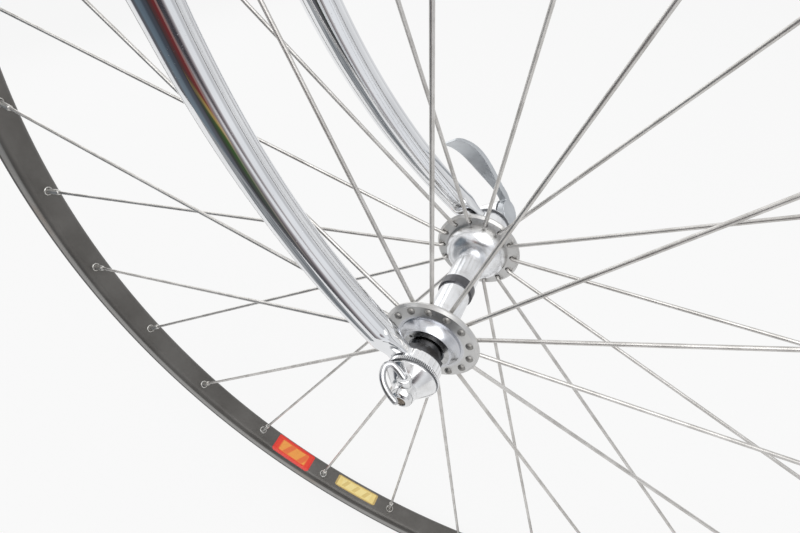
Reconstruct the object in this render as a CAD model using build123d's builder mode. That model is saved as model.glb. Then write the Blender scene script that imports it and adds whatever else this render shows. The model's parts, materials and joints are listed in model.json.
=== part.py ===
# Front fork and wheel of a vintage racing bicycle, in millimetres.
# The origin is on the steering axis at the top of the crown race. +X is forward, +Y the rider's left, +Z up.
from build123d import *
from math import asin, atan2, cos, degrees, radians, sin, tan
import os

os.makedirs("parts", exist_ok=True)

# Steering geometry
head_angle = 73
crown_clearance = 48.5
bend_radius = 305
bend_angle = 26.4
end_reach = 25
run_clearance = 0.08
overrun = 2
quarter_turn = 90
half_turn = 180
full_turn = 360

# Steerer, crown race and crown
steerer_radius = 12.7
steerer_bore_radius = 11.1
steerer_length = 165
race_seat_radius = 13.2
race_radius = 17.2
race_height = 5
race_lip = 1.6
crown_height = 24
crown_shoulder = 4
crown_core_radius = 17
crown_edge = 2.5
seat_boss_radius = 16.6
socket_wall = 1.3
socket_depth = 31
lug_point_length = 26
brake_hole_radius = 3.2
brake_hole_drop = 14
crown_blade_spacing = 64.4

# Fork blades: an oval that turns round towards the fork end
blade_seat = 12
oval_depth = 28
oval_width = 20
straight_stretch = 100
bend_depth = 20.4
bend_width = 15.2
tip_width = 14
bend_stations = 4

# Fork ends
end_thickness = 6
end_radius = 11
end_neck = 11
slot_width = 9.3
slot_bearing = -90

# Axle, cones and locknuts
axle_radius = 4.5
axle_bore_radius = 2.7
axle_stand_out = 4
skewer_radius = 2.5
skewer_reach = 4
cone_race_radius = 7
cone_length = 11.1
cone_radius = 7.6
cone_stand_out = 3.3
cone_side_gap = 0.3
washer_thickness = 1.4
washer_radius = 8.2
locknut_flats = 17
locknut_thickness = 4

# Hub shell
barrel_radius = 8
flare_radius = 9
flange_spacing = 69.6
flange_thickness = 3.2
flange_radius = 23.3
flange_round = 1.2
hole_circle_radius = 19.45
spoke_hole_radius = 1.35
holes_per_flange = 14
right_first_bearing = 141.4
left_first_bearing = 128.55
step_radius = 14.8
step_height = 0.7
cup_stand_out = 4.9
cup_radius = 12
cap_radius = 11
cap_inner_radius = 8.6
cap_thickness = 2.6
cap_hole_radius = 0.7
cap_hole_bearing = 138
shell_bore_radius = 6
clip_radius = 8.9
clip_width = 5
clip_gap = 1.2

# Spokes and nipples
spoke_radius = 1
spoke_head_radius = 1.9
spoke_head_height = 1.3
elbow_radius = 2
elbow_gap = 0.1
rim_stagger = 1
nipple_radius = 2
nipple_head_radius = 2.9
nipple_head_height = 2.2
nipple_reach = 10
spoke_grip = 5
nipple_slack = 0.25

# Rim for a tubular tyre
rim_radius = 316.5
rim_depth = 13
rim_width = 20
rim_flat = 11
rim_shoulder = 5.5
rim_lip = 1
bed_depth = 2.9
access_hole_radius = 4
seat_depth = 3.4
valve_hole_radius = 3.2

# Quick release, adjusting nut on the right
nut_ring_radius = 12.2
nut_ring_width = 2.2
nut_groove = 0.3
nut_cone_radius = 11.8
nut_neck_radius = 6.6
nut_cone_length = 6.8
nut_cap_radius = 4.9
nut_cap_length = 3.5
nut_dome_length = 3.1
eye_radius = 3.2
eye_height = 1.8
eye_top_radius = 2.7
loop_wire_radius = 1
loop_bearing = 150
loop_tilt = 30
eye_bearing = 90
eye_base = 7.2
eye_stand_off = 9.1
loop_width = 9.5
loop_reach = 10

# Quick release, lever side on the left
lever_bearing = 118
cam_stand_off = 11
housing_ring_radius = 11
housing_ring_width = 2.6
housing_radius = 8
cam_barrel_radius = 8.2
cam_barrel_length = 11
cam_shaft_radius = 4
lever_eye_radius = 7.4
lever_eye_width = 4.6
cam_cap_radius = 6.2
cam_cap_height = 3
cam_cap_round = 1.4
lever_length = 61
lever_rise = 6.2
lever_paddle_width = 13
lever_neck_thickness = 5
lever_side_gap = 0.2

# Places worked out from the sizes
lean = radians(head_angle)
up = Vector(-cos(lean), 0, sin(lean))
forward = Vector(sin(lean), 0, cos(lean))
left = Vector(0, 1, 0)
steering_axis = Axis((0, 0, 0), up)
steering_plane = Plane((0, 0, 0), x_dir=forward, z_dir=up)

crown_top = -race_height
crown_base = crown_top - crown_height
crown_to_axle = rim_radius + crown_clearance
flange_inner = (flange_spacing - flange_thickness) / 2
flange_outer = (flange_spacing + flange_thickness) / 2
cup_end = flange_outer + cup_stand_out
cone_end = cup_end + cone_stand_out
locknut_inner = cone_end + washer_thickness
locknut_outer = locknut_inner + locknut_thickness
end_spacing = 2 * locknut_outer
end_middle = (end_spacing + end_thickness) / 2
splay = atan2(end_middle - crown_blade_spacing / 2, crown_to_axle)
drop_along_blade = crown_to_axle / cos(splay)
bend = radians(bend_angle)
rake = bend_radius * (1 - cos(bend)) + end_reach * sin(bend)
straight_length = drop_along_blade - bend_radius * sin(bend) - end_reach * cos(bend)
hub = forward * rake + up * (crown_top - crown_to_axle)
axle_axis = Axis(hub, (0, 1, 0))
print("rake", round(rake, 2), "hub", hub, "straight stretch", round(straight_length, 2))

# On the section plane x runs along the axle to the right and y is the radius.
section_plane = Plane(hub, x_dir=(0, -1, 0), z_dir=(-1, 0, 0))
# On the wheel plane x is forward, y is up and z points to the right.
wheel_plane = Plane(hub, x_dir=(1, 0, 0), z_dir=(0, -1, 0))
sides = (("right", 1), ("left", -1))


def keep(piece, label):
    """Names a finished piece and writes its file."""
    piece.label = label
    export_step(piece, f"parts/{label}.step")


def radial(bearing):
    """Unit vector across the axle, its bearing in degrees from forward, turning up."""
    return Vector(cos(radians(bearing)), 0, sin(radians(bearing)))


def blade_plane(side):
    """Plane at the top of a blade's middle line: x is forward and z runs down the blade."""
    down = up * -cos(splay) - left * (side * sin(splay))
    place = up * crown_top - left * (side * crown_blade_spacing / 2)
    return Plane(place, x_dir=forward, z_dir=down)


# Steerer tube, open from end to end, with the thicker seat of the crown race at its foot
with BuildPart() as steerer_tube:
    with BuildSketch(steering_plane):
        Circle(steerer_radius)
    extrude(amount=steerer_length)
    with BuildSketch(steering_plane.offset(crown_base)):
        Circle(race_seat_radius)
    extrude(amount=-crown_base)
    with BuildSketch(steering_plane.offset(crown_base)):
        Circle(steerer_bore_radius)
    extrude(amount=steerer_length - crown_base, mode=Mode.SUBTRACT)
    with Locations(steering_plane.offset(crown_top - brake_hole_drop)):
        Cylinder(brake_hole_radius, 4 * steerer_radius, rotation=(0, quarter_turn, 0), mode=Mode.SUBTRACT)
keep(steerer_tube.part, "steerer_tube")

# Crown race, pressed on the seat above the crown
with BuildPart() as crown_race:
    with BuildSketch(Plane((0, 0, 0), x_dir=forward, z_dir=-left)):
        with BuildLine():
            Polyline(
                (race_seat_radius, crown_top),
                (race_radius, crown_top),
                (race_radius, crown_top + race_lip),
                (race_seat_radius + race_lip, 0),
                (race_seat_radius, 0),
                close=True,
            )
        make_face()
    revolve(axis=steering_axis)
keep(crown_race.part, "crown_race")

# Fork crown: a flat core between two sockets, and the two pointed lugs that carry the sockets down
lug_shares = (
    # half the socket's width, depth of the point
    (1.0, 0.0),
    (0.6, 0.16),
    (0.25, 0.5),
    (0.0, 1.0),
)
with BuildPart() as crown:
    with BuildSketch(steering_plane.offset(crown_base)):
        Circle(crown_core_radius)
        with Locations(*[(0, side * crown_blade_spacing / 2) for name, side in sides]):
            Ellipse(oval_depth / 2 + socket_wall, oval_width / 2 + socket_wall)
        make_hull()
    extrude(amount=crown_height - crown_shoulder)
    fillet(crown.faces().sort_by(steering_axis)[-1].edges(), crown_edge)
    with BuildSketch(steering_plane.offset(crown_top - 2 * crown_shoulder)):
        Circle(seat_boss_radius)
    extrude(amount=2 * crown_shoulder)
    for name, side in sides:
        top = blade_plane(side)
        with BuildSketch(top.offset(blade_seat + crown_shoulder)):
            Ellipse(oval_depth / 2 + socket_wall, oval_width / 2 + socket_wall)
        extrude(amount=socket_depth + lug_point_length - blade_seat - crown_shoulder)
        half = oval_depth / 2 + socket_wall + overrun
        tip = socket_depth + lug_point_length
        with BuildSketch(Plane(top.origin, x_dir=top.x_dir, z_dir=-top.y_dir)):
            for way in (-1, 1):
                with BuildLine():
                    Spline(
                        *[(way * half * wide, socket_depth + lug_point_length * deep)
                          for wide, deep in lug_shares]
                    )
                    Polyline((0, tip), (0, tip + overrun), (way * half, tip + overrun))
                    Line((way * half, tip + overrun), (way * half, socket_depth))
                make_face()
        extrude(amount=oval_width, both=True, mode=Mode.SUBTRACT)
        with BuildSketch(top.offset(blade_seat)):
            Ellipse(oval_depth / 2, oval_width / 2)
        extrude(amount=tip + overrun, mode=Mode.SUBTRACT)
    with BuildSketch(steering_plane.offset(crown_base - overrun)):
        Circle(race_seat_radius)
    extrude(amount=crown_height + 2 * overrun, mode=Mode.SUBTRACT)
    with Locations(steering_plane.offset(crown_top - brake_hole_drop)):
        Cylinder(brake_hole_radius, 4 * crown_core_radius, rotation=(0, quarter_turn, 0), mode=Mode.SUBTRACT)
crown_foot = steering_plane.offset(crown_base)
fork_crown = split(crown.part, bisect_by=crown_foot, keep=Keep.TOP)
keep(fork_crown, "fork_crown")
crown_lugs = split(crown.part, bisect_by=crown_foot, keep=Keep.BOTTOM)
for (name, side), lug in zip(sides, crown_lugs.solids().sort_by(Axis.Y)):
    keep(lug, f"crown_lug_{name}")

# Fork blades and fork ends
for name, side in sides:
    top = blade_plane(side)
    with BuildPart() as fork_blade:
        with BuildSketch(top.offset(blade_seat)):
            Ellipse(oval_depth / 2, oval_width / 2)
        extrude(amount=straight_stretch - blade_seat)
        with BuildSketch(top.offset(straight_stretch)):
            Ellipse(oval_depth / 2, oval_width / 2)
        with BuildSketch(top.offset(straight_length)):
            Ellipse(bend_depth / 2, bend_width / 2)
        loft()
        with BuildSketch(top.offset(straight_length)):
            Ellipse(bend_depth / 2, bend_width / 2)
        for station in range(1, bend_stations + 1):
            share = station / bend_stations
            turn = bend * share
            place = top.from_local_coords(
                Vector(bend_radius * (1 - cos(turn)), 0, straight_length + bend_radius * sin(turn))
            )
            along = top.z_dir * cos(turn) + top.x_dir * sin(turn)
            across = top.x_dir * cos(turn) - top.z_dir * sin(turn)
            with BuildSketch(Plane(place, x_dir=across, z_dir=along)):
                Ellipse(
                    (bend_depth + (tip_width - bend_depth) * share) / 2,
                    (bend_width + (tip_width - bend_width) * share) / 2,
                )
        loft()
    keep(fork_blade.part, f"fork_blade_{name}")

    # The plate lies square to the axle; a round nose closes the blade's end.
    blade_end = Plane(place, x_dir=across, z_dir=along)
    reach_bearing = half_turn - head_angle + bend_angle
    plate_plane = wheel_plane.offset(side * end_middle)
    with BuildPart() as fork_end:
        with BuildSketch(plate_plane):
            Circle(end_radius)
            with Locations(Rotation(0, 0, reach_bearing)):
                with Locations((end_reach / 2, 0)):
                    Rectangle(end_reach, end_neck)
        extrude(amount=end_thickness / 2, both=True)
        with Locations(blade_end.location):
            Sphere(tip_width / 2)
        split(bisect_by=blade_end, keep=Keep.TOP)
        with BuildSketch(plate_plane):
            Circle(slot_width / 2)
            with Locations(Rotation(0, 0, slot_bearing)):
                with Locations((end_radius, 0)):
                    Rectangle(2 * end_radius, slot_width)
        extrude(amount=end_thickness, both=True, mode=Mode.SUBTRACT)
    keep(fork_end.part, f"fork_end_{name}")

# Hub axle, hollow for the skewer
with BuildPart() as hub_axle:
    with BuildSketch(wheel_plane):
        Circle(axle_radius)
        Circle(axle_bore_radius, mode=Mode.SUBTRACT)
    extrude(amount=locknut_outer + axle_stand_out, both=True)
keep(hub_axle.part, "hub_axle")

# Cones, lock washers and locknuts, from the bearing out to the fork end
cup_floor = cup_end - cap_thickness
cone_start = cone_end - cone_length
cone_step = cup_floor + cone_side_gap
for name, side in sides:
    with BuildPart() as cone:
        with BuildSketch(section_plane):
            with BuildLine():
                Polyline(
                    (side * cone_start, axle_radius),
                    (side * cone_start, cone_race_radius),
                    (side * cone_step, cone_race_radius),
                    (side * cone_step, cone_radius),
                    (side * cone_end, cone_radius),
                    (side * cone_end, axle_radius),
                    close=True,
                )
            make_face()
        revolve(axis=axle_axis)
    keep(cone.part, f"cone_{name}")

    with BuildPart() as lock_washer:
        with BuildSketch(wheel_plane.offset(side * (cone_end + washer_thickness / 2))):
            Circle(washer_radius)
            Circle(axle_radius, mode=Mode.SUBTRACT)
        extrude(amount=washer_thickness / 2, both=True)
    keep(lock_washer.part, f"lock_washer_{name}")

    with BuildPart() as locknut:
        with BuildSketch(wheel_plane.offset(side * (locknut_inner + locknut_outer) / 2)):
            RegularPolygon(locknut_flats / 2, 6, major_radius=False)
            Circle(axle_radius, mode=Mode.SUBTRACT)
        extrude(amount=(locknut_outer - locknut_inner) / 2, both=True)
    keep(locknut.part, f"locknut_{name}")

# Hub shell: a slim barrel that flares into two drilled flanges with bearing cups
with BuildPart() as hub_shell:
    for name, side in sides:
        with BuildSketch(section_plane):
            with BuildLine():
                Polyline(
                    (0, shell_bore_radius),
                    (0, barrel_radius),
                    (side * (flange_inner - flare_radius), barrel_radius),
                )
                RadiusArc(
                    (side * (flange_inner - flare_radius), barrel_radius),
                    (side * flange_inner, barrel_radius + flare_radius),
                    side * flare_radius,
                )
                Polyline(
                    (side * flange_inner, barrel_radius + flare_radius),
                    (side * flange_inner, flange_radius - flange_round),
                    (side * (flange_inner + flange_round), flange_radius),
                    (side * (flange_outer - flange_round), flange_radius),
                    (side * flange_outer, flange_radius - flange_round),
                    (side * flange_outer, step_radius),
                    (side * (flange_outer + step_height), step_radius),
                )
                RadiusArc(
                    (side * (flange_outer + step_height), step_radius),
                    (side * cup_end, cup_radius),
                    -side * flare_radius,
                )
                Polyline(
                    (side * cup_end, cup_radius),
                    (side * cup_end, cap_radius),
                    (side * cup_floor, cap_radius),
                    (side * cup_floor, cone_race_radius + run_clearance),
                    (side * (cone_start - cone_side_gap), cone_race_radius + run_clearance),
                    (side * (cone_start - cone_side_gap), shell_bore_radius),
                    (0, shell_bore_radius),
                )
            make_face()
        revolve(axis=axle_axis)
    for (name, side), first in zip(sides, (right_first_bearing, left_first_bearing)):
        with BuildSketch(wheel_plane.offset(side * flange_spacing / 2)):
            with PolarLocations(hole_circle_radius, holes_per_flange, start_angle=first):
                Circle(spoke_hole_radius)
        extrude(amount=flange_thickness, both=True, mode=Mode.SUBTRACT)
keep(hub_shell.part, "hub_shell")

# Dust caps, pressed in the shell round the cones
for name, side in sides:
    with BuildPart() as dust_cap:
        with BuildSketch(wheel_plane.offset(side * (cup_end - cap_thickness / 2))):
            Circle(cap_radius)
            Circle(cap_inner_radius, mode=Mode.SUBTRACT)
            with PolarLocations((cap_radius + cap_inner_radius) / 2, 1, start_angle=cap_hole_bearing):
                Circle(cap_hole_radius, mode=Mode.SUBTRACT)
        extrude(amount=cap_thickness / 2, both=True)
    keep(dust_cap.part, f"dust_cap_{name}")

# Oil clip, a sprung band round the barrel with a gap behind
with BuildPart() as oil_clip:
    with BuildSketch(wheel_plane):
        Circle(clip_radius)
        Circle(barrel_radius, mode=Mode.SUBTRACT)
        with Locations((0, -clip_radius)):
            Rectangle(clip_gap, clip_radius, mode=Mode.SUBTRACT)
    extrude(amount=clip_width / 2, both=True)
keep(oil_clip.part, "oil_clip")

# Spokes and nipples: radial, every head on a flange's outer face
rim_inner = rim_radius - rim_depth
nipple_start = rim_inner - nipple_reach
head_dome_radius = (spoke_head_radius**2 + spoke_head_height**2) / (2 * spoke_head_height)
head_dome_base = degrees(asin(1 - spoke_head_height / head_dome_radius))
elbow_side = flange_inner - spoke_radius - elbow_gap
lean_in = atan2(elbow_side - rim_stagger, rim_inner - hole_circle_radius)
seat_radius = rim_inner + seat_depth


def spoke_line(side, bearing, radius):
    """Plane on a spoke's middle line at a radius from the axle, z outwards along the spoke."""
    inward = elbow_side - (radius - hole_circle_radius) * tan(lean_in)
    place = hub + radial(bearing) * radius - left * (side * inward)
    along = radial(bearing) * cos(lean_in) + left * (side * sin(lean_in))
    return Plane(place, z_dir=along)


for (name, side), first in zip(sides, (right_first_bearing, left_first_bearing)):
    bearings = [first + full_turn * count / holes_per_flange for count in range(holes_per_flange)]

    with BuildPart() as spoke:
        corner = hub + radial(first) * hole_circle_radius
        elbow = corner - left * (side * elbow_side)
        head = corner - left * (side * flange_outer)
        finish = spoke_line(side, first, nipple_start + spoke_grip).origin
        with BuildLine():
            FilletPolyline(head, elbow, finish, radius=elbow_radius)
        with BuildSketch(Plane(head, z_dir=left * side)):
            Circle(spoke_radius)
        sweep()
        dome = Plane(head, z_dir=-left * side).offset(spoke_head_height - head_dome_radius)
        with Locations(dome):
            Sphere(head_dome_radius, arc_size1=head_dome_base, align=(Align.NONE,) * 3)
    one = spoke.part
    with BuildPart() as spokes:
        for bearing in bearings:
            add(one.rotate(axle_axis, first - bearing))
    keep(spokes.part, f"spokes_{name}")

    with BuildPart() as nipples:
        for bearing in bearings:
            body = spoke_line(side, bearing, nipple_start)
            body_length = (seat_radius - nipple_start) / cos(lean_in)
            with BuildSketch(body):
                Circle(nipple_radius)
            extrude(amount=body_length)
            with BuildSketch(body.offset(body_length)):
                Circle(nipple_head_radius)
            extrude(amount=nipple_head_height)
            with BuildSketch(body):
                Circle(spoke_radius)
            extrude(amount=spoke_grip / cos(lean_in), mode=Mode.SUBTRACT)
    keep(nipples.part, f"nipples_{name}")

# Rim: a box section with a hollow bed for the tyre, drilled through the bed for the nipples
with BuildPart() as rim:
    half = rim_width / 2
    flat = rim_flat / 2
    with BuildSketch(section_plane):
        with BuildLine():
            Line((-flat, rim_inner), (flat, rim_inner))
            RadiusArc((flat, rim_inner), (half, rim_inner + rim_shoulder), -rim_shoulder)
            Polyline(
                (half, rim_inner + rim_shoulder),
                (half, rim_radius),
                (half - rim_lip, rim_radius),
            )
            ThreePointArc(
                (half - rim_lip, rim_radius),
                (0, rim_radius - bed_depth),
                (rim_lip - half, rim_radius),
            )
            Polyline(
                (rim_lip - half, rim_radius),
                (-half, rim_radius),
                (-half, rim_inner + rim_shoulder),
            )
            RadiusArc((-half, rim_inner + rim_shoulder), (-flat, rim_inner), -rim_shoulder)
        make_face()
    revolve(axis=axle_axis)
    for (name, side), first in zip(sides, (right_first_bearing, left_first_bearing)):
        for count in range(holes_per_flange):
            bearing = first + full_turn * count / holes_per_flange
            seat = spoke_line(side, bearing, seat_radius)
            with BuildSketch(seat):
                Circle(access_hole_radius)
            extrude(amount=rim_depth, mode=Mode.SUBTRACT)
            with BuildSketch(seat):
                Circle(nipple_radius + nipple_slack)
            extrude(amount=-2 * seat_depth, mode=Mode.SUBTRACT)
    valve_bearing = (right_first_bearing + left_first_bearing) / 2 - half_turn
    valve = Plane(hub + radial(valve_bearing) * rim_radius, z_dir=radial(valve_bearing))
    with Locations(valve):
        Cylinder(valve_hole_radius, 3 * rim_depth, mode=Mode.SUBTRACT)
keep(rim.part, "rim")

# Skewer, through the axle and both ends of the quick release
nut_start = end_spacing / 2 + end_thickness
with BuildPart() as skewer_rod:
    with BuildSketch(wheel_plane.offset(-nut_start)):
        Circle(skewer_radius)
    extrude(amount=2 * nut_start + skewer_reach)
keep(skewer_rod.part, "skewer_rod")

# Adjusting nut: a ring against the fork end, a cone, a domed cap and the eye of its wire loop
with BuildPart() as adjusting_nut:
    cone_foot = nut_start + nut_ring_width + nut_groove
    cone_top = nut_start + nut_ring_width + nut_cone_length
    cap_top = cone_top + nut_cap_length
    with BuildSketch(section_plane):
        with BuildLine():
            Polyline(
                (nut_start, skewer_radius),
                (nut_start, nut_ring_radius),
                (nut_start + nut_ring_width, nut_ring_radius),
                (nut_start + nut_ring_width, nut_cone_radius - nut_groove),
                (cone_foot, nut_cone_radius),
                (cone_top, nut_neck_radius),
                (cone_top, nut_cap_radius),
                (cap_top, nut_cap_radius),
            )
            EllipticalCenterArc(
                (cap_top, 0), nut_dome_length, nut_cap_radius, start_angle=0, arc_size=quarter_turn
            )
            Polyline(
                (cap_top + nut_dome_length, 0),
                (nut_start + skewer_reach, 0),
                (nut_start + skewer_reach, skewer_radius),
                (nut_start, skewer_radius),
            )
        make_face()
    revolve(axis=axle_axis)
    eye_way = radial(eye_bearing)
    eye_place = hub - left * (nut_start + eye_stand_off) + eye_way * eye_base
    with Locations(Plane(eye_place, z_dir=eye_way)):
        Cylinder(eye_radius, eye_base, align=(Align.CENTER, Align.CENTER, Align.MAX))
        Cone(eye_radius, eye_top_radius, eye_height, align=(Align.CENTER, Align.CENTER, Align.MIN))
keep(adjusting_nut.part, "adjusting_nut")

# Wire loop of the adjusting nut, from its eye round the cone to the cap's end
loop_shares = (
    # across the nut, outwards
    (0.0, 0.0),
    (0.55, -0.17),
    (0.92, -0.16),
    (1.0, 0.12),
    (0.85, 0.43),
    (0.55, 0.68),
    (0.16, 0.88),
    (-0.25, 0.99),
)
with BuildPart() as nut_wire_loop:
    across_loop = radial(loop_bearing - quarter_turn)
    loop_normal = across_loop * cos(radians(loop_tilt)) - left * sin(radians(loop_tilt))
    loop_plane = Plane(
        eye_place + eye_way * (eye_height / 2), x_dir=radial(loop_bearing), z_dir=loop_normal
    )
    with BuildLine(loop_plane):
        route = FilletPolyline(
            *[(loop_width * across, loop_reach * outwards) for across, outwards in loop_shares],
            radius=2 * loop_wire_radius,
        )
    with BuildSketch(Plane(route @ 0, z_dir=route % 0)):
        Circle(loop_wire_radius)
    sweep()
    add(adjusting_nut.part, mode=Mode.SUBTRACT)
keep(nut_wire_loop.part.solids().sort_by(SortBy.VOLUME)[-1], "nut_wire_loop")

# Cam housing on the left, with a bore across it for the cam shaft
cam_distance = nut_start + cam_stand_off
cam_centre = hub + left * cam_distance
arm = radial(lever_bearing)
lever_axis = -radial(lever_bearing - quarter_turn)
# On the lever plane x runs along the arm, y away from the wheel and z from the lever to the cap.
lever_plane = Plane(cam_centre, x_dir=arm, z_dir=lever_axis)
with BuildPart() as cam_housing:
    with BuildSketch(wheel_plane.offset(-nut_start)):
        Circle(housing_ring_radius)
    extrude(amount=-housing_ring_width)
    with BuildSketch(Plane(hub + left * nut_start, x_dir=arm, z_dir=left)):
        Circle(housing_radius)
        Rectangle(2 * housing_radius, cam_barrel_length, mode=Mode.INTERSECT)
    extrude(amount=cam_distance - nut_start)
    with BuildSketch(lever_plane):
        Circle(cam_barrel_radius)
    extrude(amount=cam_barrel_length / 2, both=True)
    with BuildSketch(lever_plane):
        Circle(cam_shaft_radius + run_clearance)
    extrude(amount=cam_barrel_length, both=True, mode=Mode.SUBTRACT)
keep(cam_housing.part, "cam_housing")

# Lever: an eye beside the housing, a curved arm with a broad tip, and the cam shaft
lever_offset = (cam_barrel_length + lever_eye_width) / 2 + lever_side_gap
lever_middle = lever_plane.offset(-lever_offset)
arm_shares = (
    # along, away from the wheel, thickness
    (0.0, 0.2, 1.0),
    (0.1, 0.82, 1.0),
    (0.3, 0.68, 0.9),
    (0.5, 0.2, 0.8),
    (0.7, -0.5, 0.7),
    (0.87, -1.75, 0.6),
    (0.96, -2.95, 0.6),
)
plan_shares = (
    # along the lever, how far it has grown from the eye's width to the tip's
    (-0.02, 0.0),
    (0.16, 0.0),
    (0.3, 0.25),
    (0.5, 0.75),
    (0.7, 1.0),
    (0.88, 0.9),
)
with BuildPart() as quick_release_lever:
    outer = [
        (along * lever_length, rise * lever_rise + thick * lever_neck_thickness / 2)
        for along, rise, thick in arm_shares
    ]
    inner = [
        (along * lever_length, rise * lever_rise - thick * lever_neck_thickness / 2)
        for along, rise, thick in arm_shares
    ]
    with BuildSketch(lever_middle):
        with BuildLine():
            Spline(*outer)
            Line(outer[-1], inner[-1])
            Spline(*inner[::-1])
            Line(inner[0], outer[0])
        make_face()
    extrude(amount=lever_paddle_width, both=True)
    with BuildSketch(Plane(lever_middle.origin, x_dir=arm, z_dir=left)):
        with BuildLine():
            growth = (lever_paddle_width - lever_eye_width) / 2
            front = [
                (lever_length * along, lever_eye_width / 2 + growth * grown)
                for along, grown in plan_shares
            ]
            back = [(along, -wide) for along, wide in front[::-1]]
            Spline(*front)
            ThreePointArc(front[-1], (lever_length, 0), back[0])
            Spline(*back)
            Line(back[-1], front[0])
        make_face()
    extrude(amount=lever_length, both=True, mode=Mode.INTERSECT)
    with BuildSketch(lever_middle):
        Circle(lever_eye_radius)
    extrude(amount=lever_eye_width / 2, both=True)
    with BuildSketch(lever_middle):
        Circle(cam_shaft_radius)
    extrude(amount=lever_offset + cam_barrel_length / 2 + run_clearance)
keep(quick_release_lever.part, "quick_release_lever")

# Cap nut on the cam shaft's other end
with BuildPart() as cam_cap:
    with BuildSketch(lever_plane.offset(cam_barrel_length / 2 + run_clearance)):
        Circle(cam_cap_radius)
    extrude(amount=cam_cap_height)
    fillet(cam_cap.edges().sort_by(Axis(cam_centre, lever_axis))[-1], cam_cap_round)
keep(cam_cap.part, "cam_cap")
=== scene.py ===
"""Looks of a vintage racing bicycle's front fork and wheel, in metres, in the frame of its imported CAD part.
The origin is on the steering axis at the crown race. +X is forward, +Y the rider's left and +Z up."""

import json
from math import asin, atan2, cos, pi, radians, sin, tan, tau

import bmesh
import bpy
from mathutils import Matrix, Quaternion, Vector


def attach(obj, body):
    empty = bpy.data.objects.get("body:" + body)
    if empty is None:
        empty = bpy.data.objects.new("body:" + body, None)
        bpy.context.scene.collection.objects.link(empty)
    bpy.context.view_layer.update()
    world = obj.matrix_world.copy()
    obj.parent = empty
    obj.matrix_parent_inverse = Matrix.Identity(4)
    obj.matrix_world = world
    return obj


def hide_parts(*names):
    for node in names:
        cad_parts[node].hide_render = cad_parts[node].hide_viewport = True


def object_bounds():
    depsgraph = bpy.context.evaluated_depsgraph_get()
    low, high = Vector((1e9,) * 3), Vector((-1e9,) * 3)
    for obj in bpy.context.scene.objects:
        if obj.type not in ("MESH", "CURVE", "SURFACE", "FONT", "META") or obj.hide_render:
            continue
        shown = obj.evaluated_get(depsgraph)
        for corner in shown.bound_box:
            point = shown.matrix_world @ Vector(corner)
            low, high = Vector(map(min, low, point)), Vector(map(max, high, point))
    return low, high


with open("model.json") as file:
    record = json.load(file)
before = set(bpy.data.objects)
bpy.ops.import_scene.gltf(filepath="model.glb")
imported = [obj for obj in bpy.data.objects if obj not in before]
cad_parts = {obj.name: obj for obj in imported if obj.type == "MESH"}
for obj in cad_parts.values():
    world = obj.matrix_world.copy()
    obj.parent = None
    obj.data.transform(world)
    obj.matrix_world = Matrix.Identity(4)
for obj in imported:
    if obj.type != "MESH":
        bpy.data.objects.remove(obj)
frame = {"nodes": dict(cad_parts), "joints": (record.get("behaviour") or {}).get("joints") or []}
cad_low, cad_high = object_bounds()

MM = 0.001
joints = {joint["name"]: joint for joint in frame["joints"]}
HUB = Vector(joints["wheel_spin"]["pos_m"])
HEAD_ANGLE = radians(73)
STEERING = Vector((-cos(HEAD_ANGLE), 0, sin(HEAD_ANGLE)))
FORWARD = Vector((sin(HEAD_ANGLE), 0, cos(HEAD_ANGLE)))
RIGHT = Vector((0, -1, 0))


def radial(bearing):
    """Unit vector across the axle, its bearing in degrees from forward, turning up."""
    return Vector((cos(radians(bearing)), 0, sin(radians(bearing))))


# Camera and studio

CAMERA_FROM_HUB = Vector((0.0692, -0.1893, 0.1935))
CAMERA_HEADING = 117.85
CAMERA_DIP = 40.97
CAMERA_ROLL = -5.94
CAMERA_LENS = 24.63
CAMERA_SENSOR = 36
CAMERA_NEAR = 0.005

FLOOR_GAP = 0.004
FLOOR_SIZE = 40
FLOOR_PAPER = 0.86
FLOOR_GLOW_SHARE = 0.9
PAPER_WHITE = 0.945
SKY_WHITE = 0.92
FLOOR_GLOW = 0.962
ROOM_LIGHT = 0.62
LAMP_SIZE = 1.6
KEY_LAMP = (0.5, -0.5, 1.3), 14
SIDE_LAMP = (-1.2, 0.9, 0.7), 5
ROOM_RADIUS = 1.25
ROOM_START = -162
ROOM_END = 110
ROOM_HEIGHT = 1.02
CLOTH_STEPS = 60
FOLD_SHIFT = 22
# the painted floor shadow: the bearings it spans, its inner reach and its lift over the floor
FLOOR_SHADOW_START = -148
FLOOR_SHADOW_END = -106
FLOOR_SHADOW_INNER = 0.36
FLOOR_SHADOW_LIFT = 0.001
BANNER_START = -104
BANNER_END = -84
BANNER_FOOT = 1.42
BANNER_TOP = 2.1
BANNER_GREY = 0.45
CARD_LEFT = 0.0
CARD_RIGHT = 0.125
CARD_FOOT = -0.33
CARD_TOP = -0.14
CARD_DISTANCE = 0.3
CARD_SLANT = 0.08
CARD_LEVEL = 0.085


def set_camera():
    """The photograph's view: above and in front of the hub, looking back and down to the left."""
    camera = bpy.data.objects.new("camera", bpy.data.cameras.new("camera"))
    bpy.context.scene.collection.objects.link(camera)
    flat = cos(radians(CAMERA_DIP))
    heading = radians(CAMERA_HEADING)
    direction = Vector((flat * cos(heading), flat * sin(heading), -sin(radians(CAMERA_DIP))))
    turn = direction.to_track_quat("-Z", "Y") @ Quaternion((0, 0, 1), radians(CAMERA_ROLL))
    camera.rotation_mode = "QUATERNION"
    camera.rotation_quaternion = turn
    camera.location = HUB + CAMERA_FROM_HUB
    camera.data.sensor_width = CAMERA_SENSOR
    camera.data.sensor_fit = "HORIZONTAL"
    camera.data.lens = CAMERA_LENS
    camera.data.clip_start = CAMERA_NEAR
    bpy.context.scene.camera = camera


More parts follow.
